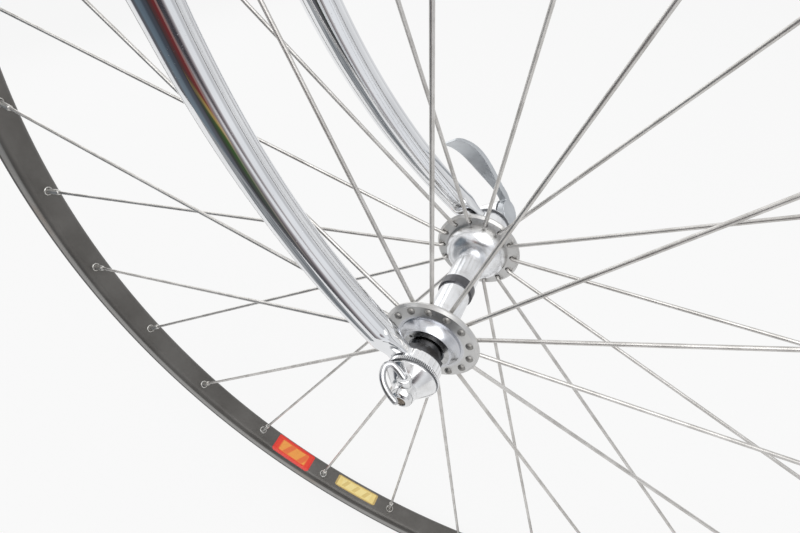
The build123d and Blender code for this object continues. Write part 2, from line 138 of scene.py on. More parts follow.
class Amount:
    """A number that varies over a surface. A sum on it adds Math nodes to its finish."""

    def __init__(self, finish, socket):
        self.finish = finish
        self.socket = socket

    def worked(self, operation, *values):
        """What a Math node makes of the values."""
        return self.finish.amount("ShaderNodeMath", {"operation": operation}, dict(enumerate(values)))

    def __add__(self, other):
        return self.worked("ADD", self, other)

    def __sub__(self, other):
        return self.worked("SUBTRACT", self, other)

    def __rsub__(self, other):
        return self.worked("SUBTRACT", other, self)

    def __mul__(self, other):
        return self.worked("MULTIPLY", self, other)

    def __truediv__(self, other):
        return self.worked("DIVIDE", self, other)

    def __pow__(self, other):
        return self.worked("POWER", self, other)

    __radd__ = __add__
    __rmul__ = __mul__

    def size(self):
        """The amount without its sign."""
        return self.worked("ABSOLUTE", self)

    def between(self, low, high):
        """0 up to low, 1 from high on, smooth in between."""
        settings = {"interpolation_type": "SMOOTHSTEP"}
        return self.finish.amount("ShaderNodeMapRange", settings, {0: self, 1: low, 2: high})


class Finish:
    """A material while it is made: its node tree, its shader and the patterns that feed it."""

    def __init__(self, name, tree=None):
        if tree is None:
            self.material = bpy.data.materials.new(name)
            self.material.use_nodes = True
            tree = self.material.node_tree
        self.tree = tree
        self.tree.nodes.clear()

    def node(self, kind, settings=None, sockets=None):
        """Adds a node. Its settings are set first, then the values or links of its sockets."""
        made = self.tree.nodes.new(kind)
        for name, value in (settings or {}).items():
            if name == "stops":
                ramp = made.color_ramp
                while len(ramp.elements) < len(value):
                    ramp.elements.new(1)
                for element, (place, colour) in zip(ramp.elements, value):
                    element.position = place
                    element.color = colour
            else:
                setattr(made, name, value)
        for name, value in (sockets or {}).items():
            socket = made.inputs[name]
            if isinstance(value, Amount):
                value = value.socket
            if isinstance(value, bpy.types.NodeSocket):
                self.tree.links.new(value, socket)
            else:
                socket.default_value = value
        return made

    def amount(self, kind, settings=None, sockets=None):
        """Adds a node and gives what it puts out."""
        return Amount(self, self.node(kind, settings, sockets).outputs[0])

    def metal(self, **constants):
        """The finish's shader, with the values that are the same all over."""
        self.shader = self.node("ShaderNodeBsdfPrincipled", {}, constants)
        self.node("ShaderNodeOutputMaterial", {}, {"Surface": self.shader.outputs[0]})

    def feed(self, **patterns):
        """Links what varies over the surface to the shader."""
        for name, value in patterns.items():
            socket = self.shader.inputs[name.replace("_", " ")]
            self.tree.links.new(value.socket if isinstance(value, Amount) else value, socket)

    def place(self):
        """Object coordinates, which are metres in the part's frame."""
        return self.node("ShaderNodeTexCoord").outputs["Object"]

    def split(self, vector):
        """The three coordinates of a vector, each as an amount."""
        apart = self.node("ShaderNodeSeparateXYZ", {}, {0: vector})
        return [Amount(self, socket) for socket in apart.outputs]

    def rays(self, *kinds):
        """1 for the rays of these kinds, 0 for all others."""
        path = self.node("ShaderNodeLightPath")
        first, *others = [Amount(self, path.outputs[f"Is {kind} Ray"]) for kind in kinds]
        return sum(others, first)

    def stretched(self, turn=(0, 0, 0), scale=(1, 1, 1), centre=(0, 0, 0)):
        """Object coordinates from a centre, turned and then scaled along each way."""
        moved = self.node("ShaderNodeMapping", {"vector_type": "TEXTURE"},
                          {"Vector": self.place(), "Location": centre, "Rotation": turn})
        return self.node("ShaderNodeVectorMath", {"operation": "MULTIPLY"},
                         {0: moved.outputs[0], 1: scale}).outputs[0]

    def noise(self, vector=None, scale=1, detail=3, rough=0.5, along=None):
        """Cloudy noise, or noise along one amount where that is given."""
        sockets = {"Scale": scale, "Detail": detail, "Roughness": rough}
        settings = {"noise_dimensions": "3D"}
        if along is not None:
            settings = {"noise_dimensions": "1D"}
            sockets["W"] = along
        elif vector is not None:
            sockets["Vector"] = vector
        else:
            sockets["Vector"] = self.place()
        return self.amount("ShaderNodeTexNoise", settings, sockets)

    def specks(self, scale, size):
        """1 inside small scattered specks, 0 elsewhere."""
        cells = self.amount("ShaderNodeTexVoronoi", {"feature": "F1"},
                            {"Vector": self.place(), "Scale": scale})
        return 1 - cells.between(size / 2, size)

    def mix(self, share, first, second, blend="MIX"):
        """Colour between two others, by a share."""
        settings = {"data_type": "RGBA", "blend_type": blend}
        return self.node("ShaderNodeMix", settings, {0: share, 6: first, 7: second}).outputs[2]

    def stripes(self, share, start, end, shades):
        """Colour along a share of the way from start to end. A shade is a place on that way and a colour."""
        stops = [((place - start) / (end - start), (*colour, 1)) for place, *colour in shades]
        return self.node("ShaderNodeValToRGB", {"stops": stops}, {0: share}).outputs[0]

    def bump(self, height, distance, under=None):
        """A relief of that height in metres, on top of another relief where one is given."""
        sockets = {"Height": height, "Distance": distance, "Strength": 1}
        if under is not None:
            sockets["Normal"] = under
        return self.node("ShaderNodeBump", {}, sockets).outputs[0]

    def about_axle(self):
        """Distance from the axle, place along it, and the two coordinates across it."""
        x, y, z = self.split(self.stretched(centre=tuple(HUB)))
        return (x * x + z * z) ** 0.5, y, x, z


def grey(value):
    """A grey in linear light."""
    return (value, value, value, 1)


def light_room():
    """World: near white for the camera and for reflections, a plain level of light for the surfaces."""
    world = bpy.data.worlds.new("studio")
    world.use_nodes = True
    bpy.context.scene.world = world
    room = Finish("", world.node_tree)
    white = room.mix(room.rays("Camera"), grey(PAPER_WHITE), grey(SKY_WHITE))
    shown = room.node("ShaderNodeBackground", {}, {"Color": white, "Strength": 1})
    felt = room.node("ShaderNodeBackground", {}, {"Color": grey(1), "Strength": ROOM_LIGHT})
    mixed = room.node("ShaderNodeMixShader", {}, {
        0: room.rays("Camera", "Glossy", "Transmission"), 1: felt.outputs[0], 2: shown.outputs[0]})
    room.node("ShaderNodeOutputWorld", {}, {"Surface": mixed.outputs[0]})


def lay_floor():
    """A plain pale floor just under the rim."""
    height = cad_low.z - FLOOR_GAP
    half = FLOOR_SIZE / 2
    mesh = bpy.data.meshes.new("floor")
    corners = [(HUB.x + x * half, y * half, height) for x, y in ((-1, -1), (1, -1), (1, 1), (-1, 1))]
    mesh.from_pydata(corners, [], [(0, 1, 2, 3)])
    floor = bpy.data.objects.new("floor", mesh)
    bpy.context.scene.collection.objects.link(floor)
    paper = Finish("floor_paper")
    matt = paper.node("ShaderNodeBsdfDiffuse", {}, {"Color": grey(FLOOR_PAPER)})
    glow = paper.node("ShaderNodeEmission", {}, {"Color": grey(FLOOR_GLOW), "Strength": 1})
    mixed = paper.node("ShaderNodeMixShader", {}, {
        0: paper.rays("Camera", "Glossy", "Transmission") * FLOOR_GLOW_SHARE,
        1: matt.outputs[0], 2: glow.outputs[0]})
    paper.node("ShaderNodeOutputMaterial", {}, {"Surface": mixed.outputs[0]})
    mesh.materials.append(paper.material)


def hang_cloth(name, corners, faces, finish):
    """A cloth that only reflections show."""
    mesh = bpy.data.meshes.new(name)
    mesh.from_pydata(corners, [], faces)
    cloth = bpy.data.objects.new(name, mesh)
    bpy.context.scene.collection.objects.link(cloth)
    mesh.materials.append(finish.material)
    cloth.visible_camera = False
    cloth.visible_diffuse = False
    cloth.visible_shadow = False
    cloth.visible_transmission = False


def curved_cloth(name, start, end, near, far, foot, top, finish):
    """A cloth bent round the hub, from one bearing to another. It may lean in or lie on the floor."""
    corners = []
    for step in range(CLOTH_STEPS + 1):
        bearing = radians(start + (end - start) * step / CLOTH_STEPS)
        for reach, height in ((near, foot), (far, top)):
            corners.append((HUB.x + reach * cos(bearing), HUB.y + reach * sin(bearing), height))
    faces = [(2 * step, 2 * step + 2, 2 * step + 3, 2 * step + 1) for step in range(CLOTH_STEPS)]
    hang_cloth(name, corners, faces, finish)


def glowing(finish, colour):
    """Makes a cloth's colour show by itself, with no lamp."""
    glow = finish.node("ShaderNodeEmission", {}, {"Color": colour, "Strength": 1})
    finish.node("ShaderNodeOutputMaterial", {}, {"Surface": glow.outputs[0]})


def stand_room_wall():
    """The room round the paper, as the chrome shows it: dark folds behind the camera, pale cloth beside."""
    floor = cad_low.z - FLOOR_GAP
    cloth = Finish("room_cloth")
    _, y, x, _ = cloth.about_axle()
    height = cloth.split(cloth.place())[2]
    bearing = y.worked("ARCTAN2", y, x) / radians(1)
    bearing = bearing + FOLD_SHIFT * (1 - height.between(-0.1, -0.02)) * bearing.between(-115, -95)
    share = (bearing - ROOM_START) / (ROOM_END - ROOM_START)
    folds = cloth.stripes(share, ROOM_START, ROOM_END, (
        (-162, 0.86, 0.87, 0.9), (-157, 0.08, 0.08, 0.095), (-149, 0.08, 0.09, 0.105),
        (-142, 0.12, 0.165, 0.205), (-129, 0.115, 0.15, 0.185), (-123, 0.06, 0.075, 0.095),
        (-114, 0.07, 0.07, 0.085), (-106, 0.045, 0.043, 0.048), (-84, 0.042, 0.042, 0.05),
        (-66, 0.06, 0.055, 0.063), (-61, 0.19, 0.165, 0.175), (-55, 0.42, 0.39, 0.4),
        (-49, 0.88, 0.89, 0.91), (-24, 0.89, 0.905, 0.93), (-15, 0.62, 0.625, 0.64),
        (-9, 0.62, 0.625, 0.64), (0, 0.74, 0.745, 0.76), (20, 0.77, 0.775, 0.785),
        (45, 0.86, 0.865, 0.87), (68, 0.86, 0.865, 0.87), (82, 0.64, 0.645, 0.66), (96, 0.8, 0.8, 0.81)))
    low = 1 - height.between(-0.64, -0.32)
    glowing(cloth, cloth.mix(low, folds, (0.06, 0.06, 0.06, 1), "ADD"))
    curved_cloth("room_wall", ROOM_START, ROOM_END, ROOM_RADIUS, ROOM_RADIUS,
                 floor, floor + ROOM_HEIGHT, cloth)


def lay_painted_floor_shadow():
    """A painted floor shadow: a grey sheet on the floor below the wall's dark folds, which only reflections
    show.
    """
    floor = cad_low.z - FLOOR_GAP + FLOOR_SHADOW_LIFT
    cloth = Finish("mat_cloth")
    streaks = cloth.noise(scale=7, detail=2).between(0.42, 0.56)
    # its grey is painted shadow on the floor, glowing so that only the chrome's reflections show it
    glowing(cloth, cloth.mix(streaks, (0.19, 0.205, 0.22, 1), (0.36, 0.37, 0.38, 1)))
    curved_cloth("floor_mat", FLOOR_SHADOW_START, FLOOR_SHADOW_END, FLOOR_SHADOW_INNER, ROOM_RADIUS, floor, floor, cloth)


def hang_banner():
    """A grey banner high above the camera, the soft band in the adjusting nut."""
    floor = cad_low.z - FLOOR_GAP
    cloth = Finish("banner_cloth")
    glowing(cloth, grey(BANNER_GREY))
    curved_cloth("grey_banner", BANNER_START, BANNER_END, ROOM_RADIUS, ROOM_RADIUS,
                 floor + BANNER_FOOT, floor + BANNER_TOP, cloth)


def stand_striped_card():
    """A card of coloured stripes near the fork, which puts their colours in its chrome."""
    corners = [(x, -CARD_DISTANCE, z) for x, z in ((CARD_LEFT, CARD_FOOT), (CARD_RIGHT, CARD_FOOT),
                                                   (CARD_RIGHT, CARD_TOP), (CARD_LEFT, CARD_TOP))]
    card = Finish("striped_card")
    across, _, height = card.split(card.place())
    share = (height + CARD_SLANT * (CARD_LEVEL - across) - CARD_FOOT) / (CARD_TOP - CARD_FOOT)
    stripes = card.stripes(share, CARD_FOOT, CARD_TOP, (
        (-0.33, 0.07, 0.075, 0.075), (-0.29, 0.07, 0.085, 0.07), (-0.275, 0.06, 0.095, 0.045),
        (-0.255, 0.045, 0.1, 0.03), (-0.244, 0.08, 0.11, 0.035), (-0.239, 0.36, 0.27, 0.1),
        (-0.231, 0.38, 0.26, 0.08), (-0.227, 0.2, 0.09, 0.04), (-0.223, 0.16, 0.034, 0.034),
        (-0.17, 0.16, 0.028, 0.03), (-0.15, 0.1, 0.03, 0.035)))
    lit = 0.35 + 0.65 * across.between(0.02, 0.075)
    shown = card.mix(lit, grey(0.045), stripes)
    glowing(card, card.mix(across.between(0.088, 0.105) * 0.3, shown, (0.6, 0.5, 0.46, 1)))
    hang_cloth("striped_card", corners, [(0, 1, 2, 3)], card)


def hang_lamp(name, place, power):
    """A soft square lamp that points at the hub."""
    lamp = bpy.data.lights.new(name, "AREA")
    lamp.shape = "SQUARE"
    lamp.size = LAMP_SIZE
    lamp.energy = power
    held = bpy.data.objects.new(name, lamp)
    held.location = HUB + Vector(place)
    held.rotation_mode = "QUATERNION"
    held.rotation_quaternion = (-Vector(place)).to_track_quat("-Z", "Y")
    bpy.context.scene.collection.objects.link(held)


# Finishes: one for each slot of the record, and a few for the scene's own pieces

def fork_chrome():
    """Old mirror chrome: faint polishing waves along the tubes, a few pits."""
    finish = Finish("fork_chrome")
    finish.metal(Metallic=1, IOR=2.5)
    along = finish.stretched(turn=(0, HEAD_ANGLE - pi / 2, 0), scale=(120, 120, 5))
    waves = finish.noise(along, 1, 2, 0.4)
    cloud = finish.noise(scale=28, detail=3)
    pits = finish.specks(900, 0.14) * finish.noise(scale=60, detail=2).between(0.52, 0.66)
    colour = finish.mix(cloud.between(0.3, 0.75), (0.83, 0.84, 0.855, 1), (0.75, 0.76, 0.775, 1))
    colour = finish.mix(pits * 0.7, colour, (0.16, 0.12, 0.09, 1))
    relief = finish.bump(waves, 0.000002)
    relief = finish.bump(1 - pits, 0.00003, relief)
    finish.feed(Base_Color=colour, Roughness=0.035 + 0.05 * cloud + 0.4 * pits, Normal=relief)
    return finish.material


def release_chrome():
    """Chrome of the quick release's small parts, with hair scratches, and painted shade darkening the toothed
    rings.
    """
    finish = Finish("release_chrome")
    finish.metal(Metallic=1, IOR=2.5)
    marks = finish.noise(finish.stretched(turn=(0.6, 0.3, 0.2), scale=(2600, 2600, 140)), 1, 2)
    cloud = finish.noise(scale=180, detail=3)
    reach, side, _, _ = finish.about_axle()
    # painted shade: the toothed rings of the nut and the cam housing are darkened to a bluish black, standing
    # in for the shade between the teeth
    teeth = reach.between(0.0108, 0.0109) * side.size().between(0.0559, 0.0561)
    teeth = teeth * (1 - side.size().between(0.0582, 0.0583)) * (1 - reach.between(0.0119, 0.0122))
    colour = finish.mix(cloud.between(0.35, 0.8), (0.80, 0.805, 0.815, 1), (0.68, 0.68, 0.68, 1))
    # the painted shade between the teeth is mixed into the colour here
    colour = finish.mix(teeth * 0.85, colour, (0.07, 0.075, 0.085, 1))
    relief = finish.bump(marks.between(0.58, 0.7), 0.000003)
    finish.feed(Base_Color=colour, Roughness=0.1 + 0.12 * cloud + 0.25 * teeth, Normal=relief)
    return finish.material


def cap_steel():
    """Chromed dust caps, turned on a lathe: fine rings, and a cloudy tarnish."""
    finish = Finish("cap_steel")
    finish.metal(Metallic=1, IOR=1.45)
    reach, side, _, _ = finish.about_axle()
    rings = finish.noise(along=reach + side, scale=3000, detail=4, rough=0.7)
    cloud = finish.noise(scale=120, detail=4, rough=0.6)
    colour = finish.mix(cloud.between(0.35, 0.75), grey(0.55), grey(0.38))
    finish.feed(Base_Color=colour, Roughness=0.16 + 0.14 * cloud + 0.08 * rings,
                Normal=finish.bump(rings, 0.000004))
    return finish.material


def hub_alloy():
    """Polished alloy turned on a lathe: a bright barrel, duller flanges, and a cloudy tarnish."""
    finish = Finish("hub_alloy")
    finish.metal(Metallic=1, IOR=1.45)
    reach, side, _, _ = finish.about_axle()
    plate = reach.between(0.0155, 0.017)
    rings = finish.noise(along=reach + side, scale=2600, detail=4, rough=0.7)
    cloud = finish.noise(scale=120, detail=4, rough=0.6)
    streaks = finish.noise(finish.stretched(scale=(90, 14, 90), centre=tuple(HUB)), 1, 3, 0.6)
    colour = finish.mix(streaks.between(0.4, 0.65), (0.84, 0.85, 0.87, 1), (0.7, 0.71, 0.73, 1))
    dish = (1 - plate) * side.size().between(0.034, 0.036)
    colour = finish.mix(plate, colour, (0.585, 0.582, 0.575, 1))
    colour = finish.mix(dish * 0.75, colour, (0.5, 0.51, 0.545, 1))
    colour = finish.mix(cloud.between(0.45, 0.8) * 0.6, colour, (0.5, 0.49, 0.475, 1))
    finish.feed(Base_Color=colour, Roughness=0.16 + 0.12 * cloud + 0.08 * rings + 0.08 * plate,
                Normal=finish.bump(rings, 0.000006))
    return finish.material


def rim_alloy():
    """Hard anodised alloy: dark satin grey, rolled marks along the hoop, scuffs on the outer edges."""
    finish = Finish("rim_alloy")
    finish.metal(IOR=1.6)
    reach, side, x, z = finish.about_axle()
    hoop = finish.node("ShaderNodeCombineXYZ", {}, {
        0: x * 22, 1: z * 22, 2: reach * 2400 + side * 3000})
    drawn = finish.noise(hoop.outputs[0], 1, 4, 0.6)
    cloud = finish.noise(scale=24, detail=4, rough=0.6)
    scuffs = finish.noise(scale=300, detail=5, rough=0.7).between(0.55, 0.7)
    scuffs = reach.between(0.3143, 0.3162) * scuffs
    braked = reach.between(0.3065, 0.3078) * (1 - reach.between(0.3132, 0.3138))
    braked = braked * side.size().between(0.0088, 0.0094)
    rubbed = braked * (0.55 + 0.45 * finish.noise(hoop.outputs[0], 0.4, 4, 0.7))
    stained = finish.noise(scale=9, detail=4, rough=0.6).between(0.55, 0.72) * braked
    colour = finish.mix(cloud.between(0.3, 0.7), (0.088, 0.083, 0.077, 1), (0.125, 0.12, 0.113, 1))
    colour = finish.mix(rubbed, colour, (0.31, 0.305, 0.295, 1))
    colour = finish.mix(reach.between(0.3133, 0.3138) * (1 - scuffs), colour, (0.05, 0.048, 0.046, 1))
    colour = finish.mix(stained * 0.5, colour, (0.2, 0.13, 0.075, 1))
    colour = finish.mix(scuffs * 0.4, colour, (0.42, 0.41, 0.39, 1))
    finish.feed(Base_Color=colour, Metallic=0.5 + 0.35 * rubbed,
                Roughness=0.36 + 0.12 * drawn - 0.08 * rubbed, Normal=finish.bump(drawn, 0.00001))
    return finish.material


def spoke_steel():
    """Drawn stainless wire, warm grey and a little dull."""
    finish = Finish("spoke_steel")
    finish.metal(Metallic=1, IOR=1.45)
    cloud = finish.noise(scale=90, detail=4, rough=0.6)
    grain = finish.noise(scale=2600, detail=2)
    reach, side, _, _ = finish.about_axle()
    heads = (1 - reach.between(0.0215, 0.023)) * side.size().between(0.0362, 0.0365)
    colour = finish.mix(cloud.between(0.35, 0.7), (0.66, 0.645, 0.625, 1), (0.5, 0.485, 0.465, 1))
    colour = finish.mix(heads * 0.8, colour, (0.2, 0.195, 0.185, 1))
    finish.feed(Base_Color=colour, Roughness=0.32 + 0.12 * cloud + 0.08 * heads,
                Normal=finish.bump(grain, 0.0000005))
    return finish.material


def worn_steel(name, light, dark, rough, stain, stain_share):
    """Plain machined or plated steel with stains."""
    finish = Finish(name)
    finish.metal(Metallic=1, IOR=1.45)
    cloud = finish.noise(scale=140, detail=4, rough=0.6)
    grain = finish.noise(scale=3000, detail=3, rough=0.6)
    stains = finish.noise(scale=70, detail=5, rough=0.65).between(0.5, 0.72) * stain_share
    colour = finish.mix(cloud.between(0.3, 0.75), light, dark)
    colour = finish.mix(stains, colour, stain)
    finish.feed(Base_Color=colour, Roughness=rough + 0.15 * cloud + 0.25 * stains,
                Normal=finish.bump(grain, 0.00001))
    return finish.material


def lever_alloy():
    """Forged aluminium, tumbled to a fine matt grain."""
    finish = Finish("lever_alloy")
    finish.metal(Metallic=1, IOR=1.45)
    grain = finish.noise(scale=2400, detail=4, rough=0.7)
    cloud = finish.noise(scale=80, detail=3)
    colour = finish.mix(cloud.between(0.3, 0.75), (0.58, 0.605, 0.63, 1), (0.46, 0.48, 0.5, 1))
    finish.feed(Base_Color=colour, Roughness=0.3 + 0.14 * grain, Normal=finish.bump(grain, 0.00003))
    return finish.material


def label_print(name, ground, panel, mark, border, stripes):
    """A worn printed label: a ground with a border line, a panel, and slanting bars on it."""
    finish = Finish(name)
    finish.metal(IOR=1.5)
    along, across, _ = finish.split(finish.node("ShaderNodeTexCoord").outputs["UV"])
    from_end = (along - 0.5).size() * 2
    from_middle = (across - 0.5).size() * 2
    inside = (1 - from_end.between(0.66, 0.76)) * (1 - from_middle.between(0.5, 0.68))
    line = from_end.between(0.9, 0.92) + from_middle.between(0.8, 0.84)
    turns = (along * stripes + across * 0.6) * tau
    bars = turns.worked("SINE", turns).between(0.35, 0.55) * inside
    wear = finish.noise(scale=900, detail=5, rough=0.7).between(0.6, 0.72)
    colour = finish.mix(inside, ground, panel)
    colour = finish.mix(bars, colour, mark)
    colour = finish.mix(line.between(0.2, 0.8), colour, border)
    colour = finish.mix(wear * 0.45, colour, (0.09, 0.085, 0.08, 1))
    finish.feed(Base_Color=colour, Roughness=0.34 + 0.3 * wear, Normal=finish.bump(wear, 0.00002))
    return finish.material


def give_finishes():
    """Each CAD node takes the finish of its slot."""
    finishes = {
        "fork_chrome": fork_chrome(),
        "release_chrome": release_chrome(),
        "hub_alloy": hub_alloy(),
        "cap_steel": cap_steel(),
        "rim_alloy": rim_alloy(),
        "spoke_steel": spoke_steel(),
        "nipple_brass": worn_steel("nipple_brass", (0.7, 0.695, 0.675, 1), (0.54, 0.525, 0.5, 1), 0.36,
                                   (0.3, 0.24, 0.15, 1), 0.3),
        "black_steel": worn_steel("black_steel", (0.14, 0.142, 0.148, 1), (0.05, 0.05, 0.053, 1), 0.16,
                                  (0.05, 0.035, 0.02, 1), 0.4),
        "bearing_steel": worn_steel("bearing_steel", (0.6, 0.6, 0.6, 1), (0.46, 0.455, 0.45, 1), 0.16,
                                    (0.24, 0.17, 0.1, 1), 0.35),
        "steerer_steel": worn_steel("steerer_steel", (0.42, 0.415, 0.41, 1), (0.28, 0.275, 0.27, 1), 0.28,
                                    (0.22, 0.13, 0.07, 1), 0.7),
        "clip_steel": worn_steel("clip_steel", (0.16, 0.16, 0.17, 1), (0.09, 0.09, 0.095, 1), 0.25,
                                 (0.1, 0.07, 0.05, 1), 0.4),
        "lever_alloy": lever_alloy(),
    }
    for node in frame["nodes"].values():
        for slot in node.material_slots:
            slot.material = finishes[slot.material.name.split(".")[0]]
    return finishes


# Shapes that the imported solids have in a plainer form

RIM_STEPS = 480
RIM_CURVE_STEPS = 8
AXLE_STEPS = 192
ROUND_STEPS = 3
RIM_INNER = 303.5
RIM_OUTER = 316.5
RIM_HALF_WIDTH = 10
RIM_HALF_FLAT = 5.5
RIM_SHOULDER = 5.5
RIM_LIP = 1
BED_DEPTH = 2.9
SEAT_REACH = 306.9
WELL_RADIUS = 4
NIPPLE_HOLE_RADIUS = 2.25
VALVE_HOLE_RADIUS = 3.2
VALVE_BEARING = -45.025
HOLE_STEPS = 32

SPOKES_A_SIDE = 14
SPOKE_SIDE = 32.1
SPOKE_CIRCLE = 19.45
SPOKE_STAGGER = 1
RIGHT_FIRST_BEARING = 141.4
LEFT_FIRST_BEARING = 128.55
SPOKE_LEAN = atan2(SPOKE_SIDE - SPOKE_STAGGER, RIM_INNER - SPOKE_CIRCLE)
NIPPLE_REACH = 293.5
NIPPLE_RADIUS = 2
NIPPLE_FLAT = 1.62
NIPPLE_SEED = 7
NIPPLE_SIDES = 24
EYELET_STEPS = 28

NUT_START = 56
NUT_TEETH = 84
NUT_RING = 11.9
NUT_RING_WIDTH = 2.2
HOUSING_START = 56
HOUSING_TEETH = 76
HOUSING_RING = 10.9
HOUSING_RING_WIDTH = 2.6
TOOTH_HEIGHT = 0.5
TOOTH_ROOT = 0.3
EYE_SIDE = 65.1
LOOP_BEARING = 150
LOOP_TILT = 30
LOOP_START = 8.3
LOOP_HALF_WIDTH = 9.5
LOOP_LENGTH = 10
LOOP_WIRE = 1.4
LOOP_ROUTE_STEPS = 8
WIRE_SIDES = 20
EYE_STEPS = 64
ROD_STEPS = 48

LEVER_BEARING = 118
LEVER_OFFSET = 8
LEVER_NECK = 8
LEVER_EASE = 6
LEVER_SLIMMING = 0.25
LEVER_GRAIN = 0.35
LEVER_ROUNDS = 10

CROWN_TOP = -5
CROWN_TO_AXLE = 365
BLADE_SPACING = 64.4
BEND_RADIUS = 305
BEND = radians(26.4)
END_MIDDLE = 53
END_REACH = 25
END_THICKNESS = 6
END_RADIUS = 11
END_NECK = 11
SLOT_WIDTH = 9.3
TIP_RADIUS = 7
SWEEP_INSIDE = 3
SWEEP_LENGTH = 12
SWEEP_STEPS = 48
SWEEP_SIDES = 128
PLATE_STEPS = 400
SLOT_STEPS = 100
END_GRAIN = 0.3
END_ROUNDS = 24
BLADE_SEAT = 12
BLADE_MIDDLE = 60
BLADE_STRAIGHT = 100
BLADE_STEPS = 30
BEND_STEPS = 60
BLADE_SIDES = 96
OVAL = (28, 20)
BEND_OVAL = (20.4, 15.2)
SPLAY = atan2(END_MIDDLE - BLADE_SPACING / 2, CROWN_TO_AXLE)
STRAIGHT = CROWN_TO_AXLE / cos(SPLAY) - BEND_RADIUS * sin(BEND) - END_REACH * cos(BEND)

# first and last bearing, first and last place across the rim
RED_LABEL = (234.3, 241.7, -8.2, 7.8)
GOLD_LABEL = (246.8, 254.5, -6.6, 3.6)
LABEL_LIFT = 0.12
LABEL_THICKNESS = 0.09
LABEL_ROWS = 12
LABEL_COLUMNS = 24

STEERER_TOP = 165
STEERER_FOOT = -29
STEERER_RADIUS = 12.7
STEERER_BORE = 11.1
RACE_SEAT = 13.2
THREADS = 32
THREAD_PITCH = 1.06
THREAD_ROOT = 12.25
BRAKE_HOLE_PLACE = -19
BRAKE_HOLE_RADIUS = 3.2
KEYWAY_LENGTH = 36
KEYWAY_HALF_WIDTH = 1.6
KEYWAY_FLOOR = 11.6
CUT_BEYOND = 14
HOLE_REACH = 40
STEERER_STEPS = 128


def add_piece(name, mesh, body, slot, *stands_for, finish=None):
    """A finished piece: it rides on a body and takes a slot's finish. It may stand for CAD nodes."""
    mesh.materials.clear()
    mesh.materials.append(finish or finishes[slot])
    mesh.polygons.foreach_set("use_smooth", [True] * len(mesh.polygons))
    mesh.set_sharp_from_angle(angle=radians(32))
    piece = bpy.data.objects.new(name, mesh)
    bpy.context.scene.collection.objects.link(piece)
    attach(piece, body)
    if stands_for:
        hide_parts(*stands_for)
    return piece


def meshed(name, shape):
    """The mesh of a shape, its faces turned outwards."""
    bmesh.ops.remove_doubles(shape, verts=shape.verts, dist=0.00000001)
    bmesh.ops.recalc_face_normals(shape, faces=shape.faces)
    mesh = bpy.data.meshes.new(name)
    shape.to_mesh(mesh)
    shape.free()
    return mesh


def rounded(outline, size):
    """A closed outline with its corners rounded. A corner may give its own size as a third value."""
    points = []
    for count, corner in enumerate(outline):
        here = Vector(corner[:2])
        before = Vector(outline[count - 1][:2])
        after = Vector(outline[(count + 1) % len(outline)][:2])
        cut = corner[2] if len(corner) > 2 else size
        cut = min(cut, 0.45 * (here - before).length, 0.45 * (after - here).length)
        if cut <= 0:
            points.append(here)
            continue
        start = here + (before - here).normalized() * cut
        finish = here + (after - here).normalized() * cut
        for step in range(ROUND_STEPS + 1):
            share = step / ROUND_STEPS
            points.append(start.lerp(here, share).lerp(here.lerp(finish, share), share))
    return points


def skin(shape, rings, ends=True):
    """Faces between each ring of points and the next, and over the first and the last ring."""
    for ring, after in zip(rings, rings[1:]):
        for count, point in enumerate(ring):
            other = (count + 1) % len(ring)
            shape.faces.new((point, ring[other], after[other], after[count]))
    if ends:
        shape.faces.new(rings[0])
        shape.faces.new(rings[-1])


def lathe(shape, outline, steps, centre=HUB, axis=RIGHT):
    """Turns a closed outline of (place along the axis, radius), in millimetres, about an axis."""
    across = axis.orthogonal().normalized()
    up = axis.cross(across)
    rings = []
    for along, reach in outline:
        middle = centre + axis * (along * MM)
        turns = [tau * step / steps for step in range(steps)]
        rings.append([shape.verts.new(middle + (across * cos(turn) + up * sin(turn)) * (reach * MM))
                      for turn in turns])
    skin(shape, rings + rings[:1], ends=False)


def smooth_route(points, steps):
    """A smooth line through points."""
    route = []
    for count in range(len(points) - 1):
        before = points[max(count - 1, 0)]
        start, end = points[count], points[count + 1]
        after = points[min(count + 2, len(points) - 1)]
        for step in range(steps):
            share = step / steps
            route.append(0.5 * (2 * start + (end - before) * share
                                + (2 * before - 5 * start + 4 * end - after) * share ** 2
                                + (3 * start - before - 3 * end + after) * share ** 3))
    return route + [points[-1]]


def wire(shape, route, radius):
    """A round wire along a route, with a dome on each end."""
    first = (route[0] - route[1]).normalized()
    last = (route[-1] - route[-2]).normalized()
    dome = [(radius * share, radius * (1 - share ** 2) ** 0.5) for share in (0.35, 0.7, 0.9)]
    stations = [(route[0] + first * beyond, size) for beyond, size in reversed(dome)]
    stations += [(point, radius) for point in route]
    stations += [(route[-1] + last * beyond, size) for beyond, size in dome]
    across = first.orthogonal().normalized()
    rings = []
    for count, (point, size) in enumerate(stations):
        ahead = stations[min(count + 1, len(stations) - 1)][0] - stations[max(count - 1, 0)][0]
        ahead.normalize()
        across = (across - ahead * across.dot(ahead)).normalized()
        up = ahead.cross(across)
        turns = [tau * side / WIRE_SIDES for side in range(WIRE_SIDES)]
        rings.append([shape.verts.new(point + (across * cos(turn) + up * sin(turn)) * size)
                      for turn in turns])
    skin(shape, rings)


def worked(mesh, name, *steps):
    """A mesh after modifiers: each step gives a modifier's type and its settings."""
    holder = bpy.data.objects.new(name, mesh)
    bpy.context.scene.collection.objects.link(holder)
    for kind, settings in steps:
        modifier = holder.modifiers.new(kind.lower(), kind)
        for setting, value in settings.items():
            setattr(modifier, setting, value)
    bpy.context.view_layer.update()
    made = bpy.data.meshes.new_from_object(holder.evaluated_get(bpy.context.evaluated_depsgraph_get()))
    made.name = name
    bpy.data.objects.remove(holder)
    return made


def cut(mesh, name, tools):
    """A mesh with the shape of the tools taken out of it."""
    knife = bpy.data.objects.new("knife", meshed("knife", tools))
    bpy.context.scene.collection.objects.link(knife)
    made = worked(mesh, name, ("BOOLEAN", {"operation": "DIFFERENCE", "solver": "EXACT", "object": knife}))
    bpy.data.objects.remove(knife)
    return made


